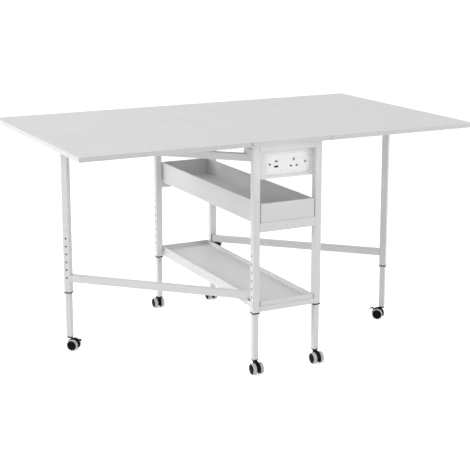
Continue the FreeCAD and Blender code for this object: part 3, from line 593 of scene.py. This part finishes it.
black_plastic = plastic_finish(
    "black_plastic", (0.003, 0.003, 0.0033), (0.007, 0.007, 0.0074), 0.5, 1300.0, 0.4, 0.08
)
dress(black_plastic, "leg_collars", "gate_caps_left", "gate_caps_right")
dress(zinc, "gate_pins")
low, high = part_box("gate_blocks")
blocks = []
for way in (-1, 1):
    # from the outer corner of the leg near left, then of the one far right
    x, y = (low.x, low.y) if way < 0 else (high.x, high.y)
    for base in (low.z, high.z - BLOCK_SIZE.z):
        ends = [(x, y, base), (x - way * BLOCK_SIZE.x, y - way * BLOCK_SIZE.y, base + BLOCK_SIZE.z)]
        block = sawn("block", [min(v) for v in zip(*ends)], [max(v) for v in zip(*ends)])
        bevelled(block, BLOCK_ROUND, 4, lambda e: along(e, 2) and abs(middle(e).y) < PIVOT.y)
        bevelled(block, BLOCK_EASED, 2, lambda e: not along(e, 2))
        bore = turned_rod("bore", PIVOT_RADIUS, BLOCK_SIZE.z * 2)
        bore.data.transform(Matrix.Translation(way * PIVOT + Vector((0, 0, base - BLOCK_SIZE.z / 2))))
        blocks.append(cut(block, bore))
blocks = joined("gate_pivot_blocks", blocks)
shaded(blocks, black_plastic, "frame", "black_plastic", "gate_blocks", angle=30)

# ---- folded trays ------------------------------------------------------------
# Tray and shelf are pans folded from one steel sheet: four walls, a lip turned
# in all round, rounded bends. A flat strip under each long side stiffens it.
SHEET = 0.0012
BEND = 0.0030
STRIP_PROUD = 0.0010
TRAYS = [
    # node, depth of the pan, lip, foot of the side strip, its head above the floor of the pan
    ("tray", 0.065, 0.008, 0.0110, 0.0036),
    ("shelf", 0.016, 0.005, 0.0195, 0.0010),
]
FRAME_INNER_Y = 0.396


def thickened(shell):
    """Gives a folded skin the thickness of the sheet, inwards."""
    wall = shell.modifiers.new("sheet", "SOLIDIFY")
    wall.thickness = SHEET
    wall.offset = -1.0
    wall.use_even_offset = True
    only(shell)
    bpy.ops.object.modifier_apply(modifier=wall.name)
    return shell


def pan(name, low, high, lip):
    """An open pan with rounded bends and a lip turned inwards, folded from one sheet."""
    low, high = Vector(low), Vector(high)
    shell = sawn(name, low, high)
    pick(shell, "FACE", lambda f: f.normal.z > SQUARE_ON)
    bpy.ops.mesh.delete(type="FACE")
    done(shell)
    bevelled(shell, BEND, 3, lambda e: along(e, 2) or middle(e).z < low.z + NEARLY)
    pick(shell, "EDGE", lambda e: e.is_boundary)
    bpy.ops.mesh.extrude_region_move()
    size = high - low
    heart = (low + high) / 2
    heart.z = high.z
    bpy.ops.transform.resize(
        value=(1 - 2 * lip / size.x, 1 - 2 * lip / size.y, 1.0), center_override=heart
    )
    bpy.ops.mesh.select_all(action="SELECT")
    bpy.ops.mesh.normals_make_consistent(inside=False)
    return thickened(done(shell))


sheet_coat = coat_finish("sheet_coat", (0.79, 0.79, 0.80), (0.765, 0.765, 0.775), 0.46)
for node, depth, lip, foot, head in TRAYS:
    low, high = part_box(node)
    base = high.z - depth
    shell = pan(node + "_pan", (low.x, low.y, base), high, lip)
    shaded(shell, sheet_coat, "frame", "sheet_coat", node)
    for side, word in ((-1, "left"), (1, "right")):
        xs = sorted((side * high.x, side * (high.x + STRIP_PROUD)))
        strip = sawn(
            node + "_strip_" + word,
            (xs[0], -FRAME_INNER_Y, base - foot),
            (xs[1], FRAME_INNER_Y, base + head),
        )
        bevelled(strip, STRIP_PROUD / 3, 2, lambda e: along(e, 1))
        shaded(strip, sheet_coat, "frame", "sheet_coat", node)

# ---- power outlet ------------------------------------------------------------
# A panel folded from steel sheet stands back between the near legs, the edges of
# its opening turned in. Behind the opening lies a white moulded faceplate with a
# mains socket and two charging ports, on a black housing with a cable gland.
PANEL_BEND = 0.0012
OPENING = (0.176, 0.076)
OPENING_ROUND = 0.0030
OPENING_BEND = 0.0009
TURNED_IN_LAP = SHEET * 0.1
PLATE = (0.160, 0.065)
PLATE_PROUD = 0.0025
FACE_CORNER = 0.004
FACE_RIM = 0.0011
FIELD_INSET = 0.005
FIELD_CORNER = 0.002
FIELD_SUNK = 0.0005
# from the middle of the plate: centre across and up, width, height
SOCKET_SLOTS = [
    (0.0134, -0.0105, 0.0080, 0.0052),
    (0.0356, -0.0105, 0.0080, 0.0052),
    (0.0245, 0.0117, 0.0052, 0.0092),
]
PORT_SLOTS = [
    (-0.0435, -0.0090, 0.0160, 0.0062),
    (-0.0435, 0.0090, 0.0104, 0.0048),
]
# how far a cutting block reaches past what it cuts
PAST = 0.001
CONTACT_DEPTH = 0.0042
LINING = 0.0004
LINING_BACK = 0.0005
LINING_PLAY = 0.0001
LINING_SUNK = 0.0002
TONGUE_SHARE = (0.64, 0.24)
TONGUE_RAISED = 0.02
TONGUE_SUNK = 0.0012
TONGUE_EASED = 0.00015
HOUSING_DEPTH = 0.042
HOUSING_ROUND = 0.003
GLAND_RADIUS = 0.007
GLAND_BORE = 0.0042
GLAND_LENGTH = 0.0125
GLAND_BLIND = 0.8 * GLAND_LENGTH
GLAND_EASED = 0.0008
GLAND_SUNK = 0.0005
NUT_RADIUS = 1.2 * GLAND_RADIUS
NUT_LENGTH = 0.4 * GLAND_LENGTH
NUT_EASED = 0.0006
BORE_DRAFT = 0.00001


def upright(name, centre, size, y0, y1):
    """A block between two depths, from the middle, width and height of its front."""
    (x, z), (width, height) = centre, size
    return sawn(name, (x - width / 2, y0, z - height / 2), (x + width / 2, y1, z + height / 2))


def cornered(obj, radius, segments=5):
    """Rounds the corners of an upright block, as seen from the front."""
    return bevelled(obj, radius, segments, lambda e: along(e, 1))


white_plastic = plastic_finish(
    "white_plastic", (0.90, 0.90, 0.905), (0.92, 0.92, 0.925), 0.26, 1600.0, 0.12
)
low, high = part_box("power_plate")
base_low, base_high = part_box("outlet_face")
heart = ((base_low.x + base_high.x) / 2, (base_low.z + base_high.z) / 2)
front = base_low.y
base_face = front + PLATE_PROUD

panel = sawn("outlet_panel", low, high)
pick(panel, "FACE", lambda f: f.normal.y > SQUARE_ON or f.normal.z > SQUARE_ON)
bpy.ops.mesh.delete(type="FACE")
done(panel)
thickened(bevelled(panel, PANEL_BEND, 3, lambda e: not e.is_boundary))
opening = upright("opening", heart, OPENING, low.y - SHEET, low.y + 2 * SHEET)
cut(panel, cornered(opening, OPENING_ROUND))
bevelled(
    panel,
    OPENING_BEND,
    3,
    lambda e: abs(middle(e).y - low.y) < NEARLY
    and abs(middle(e).x - heart[0]) < OPENING[0] / 2 + 10 * NEARLY
    and abs(middle(e).z - heart[1]) < OPENING[1] / 2 + 10 * NEARLY,
)
outside = [size + 2 * SHEET for size in OPENING]
turned_in = upright("turned_in", heart, outside, low.y + SHEET - TURNED_IN_LAP, base_face)
hollowed(cornered(turned_in, OPENING_ROUND + SHEET), SHEET, 1)
panel = joined("outlet_panel", [panel, turned_in])
shaded(panel, sheet_coat, "frame", "sheet_coat", "power_plate")

face = cornered(upright("outlet_faceplate", heart, PLATE, front, base_high.y), FACE_CORNER)
bevelled(face, FACE_RIM, 4, lambda e: middle(e).y < front + NEARLY)
base = sawn("base", (base_low.x, base_face, base_low.z), base_high)
cut(face, cornered(base, FACE_CORNER), "UNION")
field = [size - 2 * FIELD_INSET for size in PLATE]
cut(face, cornered(upright("field", heart, field, front - PAST, front + FIELD_SUNK), FIELD_CORNER))
contacts = []
deepest = front + CONTACT_DEPTH
for x, z, width, height in SOCKET_SLOTS + PORT_SLOTS:
    spot, size = (heart[0] + x, heart[1] + z), (width, height)
    cut(face, upright("slot", spot, size, front - PAST, base_high.y + PAST))
    lining = upright("lining", spot, size, front + FIELD_SUNK + LINING_SUNK, deepest)
    contacts.append(hollowed(lining, LINING, 1))
    inner = [side - 2 * (LINING - LINING_PLAY) for side in size]
    rear = deepest - LINING_PLAY
    contacts.append(upright("back", spot, inner, rear - LINING_BACK, rear))
for x, z, width, height in PORT_SLOTS:
    spot = (heart[0] + x, heart[1] + z + height * TONGUE_RAISED)
    size = (width * TONGUE_SHARE[0], height * TONGUE_SHARE[1])
    tip = front + TONGUE_SUNK
    tongue = upright("tongue", spot, size, tip, deepest - LINING_BACK + 2 * LINING_PLAY)
    contacts.append(bevelled(tongue, TONGUE_EASED, 1, lambda e: middle(e).y < tip + NEARLY))
shaded(face, white_plastic, "frame", "white_plastic", "outlet_face", angle=30)
shaded(joined("outlet_contacts", contacts), black_plastic, "frame", "black_plastic")

low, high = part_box("outlet_box")
back = low.y + HOUSING_DEPTH
housing = cornered(sawn("outlet_housing", low, (high.x, back, high.z)), HOUSING_ROUND, 3)
bevelled(housing, HOUSING_ROUND / 2, 2, lambda e: middle(e).y > back - NEARLY)
gland = turned_rod("gland", GLAND_RADIUS, GLAND_LENGTH, sides=24)
bevelled(gland, GLAND_EASED, 2, lambda e: middle(e).z > GLAND_LENGTH - NEARLY)
pick(gland, "FACE", lambda f: f.normal.z > SQUARE_ON and flat_end(f))
bpy.ops.mesh.inset(thickness=GLAND_RADIUS - GLAND_BORE)
bpy.ops.mesh.inset(thickness=BORE_DRAFT, depth=-GLAND_BLIND)
done(gland)
nut = turned_rod("gland_nut", NUT_RADIUS, NUT_LENGTH, sides=6)
bevelled(nut, NUT_EASED, 1, lambda e: True)
for part in (gland, nut):
    part.data.transform(facing((0, 1, 0), ((low.x + high.x) / 2, back - GLAND_SUNK, heart[1])))
housing = joined("outlet_housing", [housing, gland, nut])
shaded(housing, black_plastic, "frame", "black_plastic", "outlet_box")

# ---- screws ------------------------------------------------------------------
# Cross-head machine screws: two dull ones in the faceplate, and zinc-plated ones
# up into the centre board and through the end rails into the tray and the shelf.
# diameter and height of the heads
FACE_SCREW = (0.0076, 0.0016)
FRAME_SCREW = (0.0100, 0.0030)
FACE_SCREW_X = 0.0685
FRAME_FACE_Y = 0.421
BOARD_SCREW_BASE = 0.773
BOARD_SCREWS = [(x, y) for x in (-0.070, 0.070) for y in (-0.4085, 0.4085)]
RAIL_SCREWS = [(0.0, 0.5115), (-0.092, 0.2295), (0.092, 0.2295)]
dull_steel = plate_finish("dull_steel", (0.15, 0.15, 0.155), (0.23, 0.23, 0.235))
head = screw_head(*FACE_SCREW)
spots = [(heart[0] + x, front + FIELD_SUNK, heart[1]) for x in (-FACE_SCREW_X, FACE_SCREW_X)]
heads = [copied(head, facing((0, -1, 0), spot)) for spot in spots]
dropped(head)
shaded(joined("faceplate_screws", heads), dull_steel, "frame", "zinc", "outlet_screws")

head = screw_head(*FRAME_SCREW)
heads = [copied(head, facing((0, 0, -1), (x, y, BOARD_SCREW_BASE))) for x, y in BOARD_SCREWS]
for x, z in RAIL_SCREWS:
    for side in (-1, 1):
        heads.append(copied(head, facing((0, side, 0), (x, side * FRAME_FACE_Y, z))))
dropped(head)
shaded(joined("rail_screws", heads), zinc, "frame", "zinc", "frame_screws")

# ---- telescoping feet --------------------------------------------------------
# Smaller square tubes slide in the legs, powder-coated like them. A black plug closes
# each foot and takes the caster's stem; two zinc buttons on a sprung leaf lock it.
PLACES = ("near_left", "near_right", "far_left", "far_right", "gate_left", "gate_right")
PLUG_TOP = 0.0505
PLUG_SHADE = (0.004, 0.004, 0.0044)
PLUG_PALER = (0.009, 0.009, 0.0095)


def foot_finish():
    """The leg's powder coat down to the plug, and moulded black plastic below it."""
    mat, skin, space, add, links = new_finish("foot_coat_and_plug")
    split = add("SeparateXYZ", {"Vector": space})
    coated = add("Math", {0: split.outputs["Z"], 1: PLUG_TOP}, operation="GREATER_THAN")
    clouds = add("TexNoise", {"Vector": space, "Scale": 7.0, "Detail": 5.0, "Roughness": 0.6})
    pale = ramp(add, clouds.outputs["Fac"], [(0.3, COAT_DARKER), (0.7, COAT_SHADE)])
    dark = ramp(add, clouds.outputs["Fac"], [(0.3, PLUG_SHADE), (0.7, PLUG_PALER)])
    tone = add("Mix", {"Factor": coated.outputs[0]}, data_type="RGBA")
    links.new(dark, tone.inputs[MIX_FIRST])
    links.new(pale, tone.inputs[MIX_SECOND])
    links.new(tone.outputs[MIX_RESULT], skin.inputs["Base Color"])
    peel = add("TexNoise", {"Vector": space, "Scale": 260.0, "Detail": 2.0, "Roughness": 0.4})
    gloss = ramp(add, peel.outputs["Fac"], [(0.3, 0.37), (0.7, 0.48)])
    links.new(gloss, skin.inputs["Roughness"])
    relief = add("Bump", {"Strength": 0.35, "Distance": 0.00015, "Height": peel.outputs["Fac"]})
    links.new(relief.outputs["Normal"], skin.inputs["Normal"])
    return mat


foot_coat = foot_finish()
for place in PLACES:
    dress(foot_coat, "foot_" + place)
    dress(zinc, "snap_button_" + place)

# ---- casters -----------------------------------------------------------------
# Twin-wheel swivel casters: two grey rubber tyres on dished black hubs, either
# side of a moulded black hood that turns on a stem; gate casters have a brake.
WHEEL_RADIUS = 0.020
WHEEL_WIDTH = 0.014
WHEEL_FROM_MIDDLE = 0.0065
TYRE_ROUND = 0.0030
HUB_RADIUS = 0.0168
HUB_PLAY = 0.0001
HUB_SHORT = 0.0006
TRAIL = 0.014
# the way each caster trails, in degrees from +X
TURNS = {
    "near_left": -90, "near_right": -90, "far_left": 90, "far_right": 90,
    "gate_left": -45, "gate_right": 135,
}
HOOD_RADIUS = 0.0235
HOOD_WIDTH = 0.012
HOOD_FOOT = 0.011
HOOD_EASED = 0.0012
HOOD_POCKET = 0.0025
HOOD_DRAFT = 0.0004
HOOD_RIM = 0.003
CASTER_TOP = 0.0471
NECK_BACK = -0.0052
NECK_FOOT = 0.024
NECK_ROUND = 0.0022
NECK_LAP = 0.0002
TOP_PLATE_RADIUS = 0.0095
TOP_PLATE = 0.003
TOP_PLATE_EASED = 0.0007
AXLE_BOSS_RADIUS = 0.005
AXLE_BOSS_EASED = 0.0005
STEM_RADIUS = 0.004
STEM_TOP = 0.0715
STEM_EASED = 0.0010
LEVER_SLOT = ((0.0237, -0.0033, 0.0227), (0.0500, 0.0033, 0.0500))
# rings of the hub's face from its edge inwards: width and rise; its back has the first three
HUB_STEPS = [
    (0.0014, 0.0), (0.0006, -0.0007), (0.0040, 0.0), (0.0004, 0.0005), (0.0012, 0.0),
    (0.0004, -0.0005), (0.0022, 0.0), (0.0005, 0.0007), (0.0012, 0.0004),
]
HUB_BACK_STEPS = HUB_STEPS[:3]

# the wheel is drawn on the Z axis, outer face up, then laid on its axle
tyre_ring = turned_rod("tyre", WHEEL_RADIUS, WHEEL_WIDTH, sides=72)
bevelled(tyre_ring, TYRE_ROUND, 5, rim)
hollowed(tyre_ring, WHEEL_RADIUS - TYRE_ROUND - HUB_RADIUS, 2)
hub = turned_rod("hub", HUB_RADIUS - HUB_PLAY, WHEEL_WIDTH - 2 * HUB_SHORT, sides=72)
hub.data.transform(Matrix.Translation((0, 0, HUB_SHORT)))
for way, steps in ((1, HUB_STEPS), (-1, HUB_BACK_STEPS)):
    pick(hub, "FACE", lambda f: f.normal.z * way > SQUARE_ON and flat_end(f))
    for width, rise in steps:
        bpy.ops.mesh.inset(thickness=width, depth=rise)
    done(hub)


def lay_wheel(master, side):
    """A wheel drawn up the Z axis, stood on its axle beside the hood."""
    stood = facing((0, side, 0), (TRAIL, side * WHEEL_FROM_MIDDLE, WHEEL_RADIUS))
    return copied(master, stood)


hood = turned_rod("hood", HOOD_RADIUS, HOOD_WIDTH, sides=64)
bevelled(hood, HOOD_EASED, 3, rim)
for way in (1, -1):
    pick(hood, "FACE", lambda f: f.normal.z * way > SQUARE_ON and flat_end(f))
    bpy.ops.mesh.inset(thickness=HOOD_RIM - HOOD_EASED)
    bpy.ops.mesh.inset(thickness=HOOD_DRAFT, depth=-HOOD_POCKET)
    done(hood)
hood.data.transform(facing((0, 1, 0), (TRAIL, -HOOD_WIDTH / 2, WHEEL_RADIUS)))
pick(hood, "FACE", lambda f: True)
bpy.ops.mesh.bisect(plane_co=(0, 0, HOOD_FOOT), plane_no=(0, 0, 1), use_fill=True, clear_inner=True)
done(hood)
neck_half = HOOD_WIDTH / 2 - NECK_LAP
neck_top = CASTER_TOP - TOP_PLATE + NECK_LAP
neck = sawn("neck", (NECK_BACK, -neck_half, NECK_FOOT), (TRAIL, neck_half, neck_top))
bevelled(neck, NECK_ROUND, 4, lambda e: middle(e).x < 0 and not along(e, 1))
cap = turned_rod("top_plate", TOP_PLATE_RADIUS, TOP_PLATE, sides=48)
bevelled(cap, TOP_PLATE_EASED, 2, rim)
cap.data.transform(Matrix.Translation((0, 0, CASTER_TOP - TOP_PLATE)))
boss = turned_rod("axle_boss", AXLE_BOSS_RADIUS, HOOD_WIDTH, sides=32)
bevelled(boss, AXLE_BOSS_EASED, 2, rim)
boss.data.transform(facing((0, 1, 0), (TRAIL, -HOOD_WIDTH / 2, WHEEL_RADIUS)))
caster = joined("caster", [hood, neck, cap, boss])
braked = cut(copied(caster, Matrix()), sawn("lever_slot", *LEVER_SLOT))
stem = turned_rod("stem", STEM_RADIUS, STEM_TOP - CASTER_TOP, sides=32)
bevelled(stem, STEM_EASED, 2, lambda e: middle(e).z > STEM_TOP - CASTER_TOP - NEARLY)
stem.data.transform(Matrix.Translation((0, 0, CASTER_TOP)))


def caster_spot(place):
    """Where a caster drawn at the origin, trailing along +X, stands under a foot."""
    low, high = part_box("foot_" + place)
    spot = Matrix.Translation(((low.x + high.x) / 2, (low.y + high.y) / 2, 0.0))
    return spot @ Matrix.Rotation(math.radians(TURNS[place]), 4, "Z")


rubber = plastic_finish("wheel_tyre", (0.56, 0.56, 0.565), (0.62, 0.62, 0.625), 0.5, 900.0, 0.3)
for place in PLACES:
    spot = caster_spot(place)
    tyres = [lay_wheel(tyre_ring, side) for side in (-1, 1)]
    hubs = [lay_wheel(hub, side) for side in (-1, 1)]
    for part in tyres + hubs:
        part.data.transform(spot)
    wheels = ("wheels_" + place, "caster_wheels_" + place)
    shaded(joined("caster_tyres_" + place, tyres), rubber, wheels[0], "wheel_tyre", wheels[1])
    shaded(joined("caster_hubs_" + place, hubs), black_plastic, wheels[0], "black_plastic", wheels[1])
    made = braked if place.startswith("gate") else caster
    body = joined("caster_body_" + place, [copied(made, spot)])
    shaded(body, black_plastic, "caster_" + place, "black_plastic", "caster_hood_" + place)
    pin = joined("caster_stem_" + place, [copied(stem, spot)])
    shaded(pin, zinc, "caster_" + place, "zinc", "caster_hood_" + place)
dropped(tyre_ring, hub, caster, braked, stem)

# ---- brake levers ------------------------------------------------------------
# The gate casters' levers, moulded black: a boss on a steel pin in the hood's
# slot, and an arm that curves up out of it into a broad pedal with toe ribs.
LEVER_AXIS = (0.028, 0.031)
BOSS_RADIUS = 0.004
BOSS_WIDTH = 0.006
BOSS_EASED = 0.0005
ARM_THICK = 0.0034
ARM_EASED = 0.0007
ARM_SHARP = math.radians(50)
PIN_RADIUS = 0.0015
PIN_LENGTH = 0.0114
PIN_EASED = 0.0003
# stations along the arm: out from the stem's axis, up from the floor, slope in degrees, width
ARM = [
    (0.0288, 0.0325, 52, 0.0060), (0.0312, 0.0358, 52, 0.0060), (0.0330, 0.0379, 42, 0.0066),
    (0.0352, 0.0393, 20, 0.0088), (0.0374, 0.0396, -4, 0.0110), (0.0398, 0.0389, -22, 0.0120),
    (0.0434, 0.0371, -28, 0.0120), (0.0441, 0.0366, -40, 0.0112),
]
# thickness, width and height of a toe rib
RIB = (0.0006, 0.0096, 0.0009)
RIB_EASED = 0.0002
# out, up and slope of each toe rib
RIBS = [(0.0392, 0.0409, -18), (0.0408, 0.0403, -24), (0.0424, 0.0395, -26)]


def lever():
    """A lever drawn at the origin like its caster."""
    x, z, slope, width = ARM[0]
    bpy.ops.object.select_all(action="DESELECT")
    bpy.ops.mesh.primitive_plane_add(size=1.0, location=(x, 0, z), rotation=(0, math.pi / 2, 0))
    arm = bpy.context.object
    arm.scale = (ARM_THICK, width, 1.0)
    settled(arm, "lever")
    pick(arm, "FACE", lambda f: True)
    bpy.ops.transform.rotate(value=math.radians(slope), orient_axis="Y", center_override=(x, 0, z))
    for (x0, z0, slope0, width0), (x, z, slope, width) in zip(ARM, ARM[1:]):
        bpy.ops.mesh.extrude_region_move(TRANSFORM_OT_translate={"value": (x - x0, 0, z - z0)})
        spot = (x, 0, z)
        bpy.ops.transform.resize(value=(1, width / width0, 1), center_override=spot)
        turn = math.radians(slope - slope0)
        bpy.ops.transform.rotate(value=turn, orient_axis="Y", center_override=spot)
    bpy.ops.mesh.select_all(action="SELECT")
    bpy.ops.mesh.normals_make_consistent(inside=False)
    done(arm)
    bevelled(arm, ARM_EASED, 3, lambda e: e.calc_face_angle() > ARM_SHARP)
    boss = turned_rod("boss", BOSS_RADIUS, BOSS_WIDTH, sides=40)
    bevelled(boss, BOSS_EASED, 2, rim)
    boss.data.transform(facing((0, 1, 0), (LEVER_AXIS[0], -BOSS_WIDTH / 2, LEVER_AXIS[1])))
    parts = [arm, boss]
    for x, z, slope in RIBS:
        rib = sawn("rib", [-v / 2 for v in RIB], [v / 2 for v in RIB])
        bevelled(rib, RIB_EASED, 2, lambda e: middle(e).z > 0)
        turn = Matrix.Rotation(math.radians(-slope), 4, "Y")
        rib.data.transform(Matrix.Translation((x, 0, z)) @ turn)
        parts.append(rib)
    return joined("lever", parts)


def lever_pin():
    """The steel pin of a lever, drawn at the origin like it."""
    pin = turned_rod("lever_pin", PIN_RADIUS, PIN_LENGTH, sides=24)
    bevelled(pin, PIN_EASED, 1, rim)
    pin.data.transform(facing((0, 1, 0), (LEVER_AXIS[0], -PIN_LENGTH / 2, LEVER_AXIS[1])))
    return pin


pedal_drawn, pin_drawn = lever(), lever_pin()
for place in ("gate_left", "gate_right"):
    spot, body, node = caster_spot(place), "lever_" + place, "brake_lever_" + place
    pedal = joined(node + "_pedal", [copied(pedal_drawn, spot)])
    shaded(pedal, black_plastic, body, "black_plastic", node)
    shaded(joined(node + "_pin", [copied(pin_drawn, spot)]), zinc, body, "zinc", node)
dropped(pedal_drawn, pin_drawn)
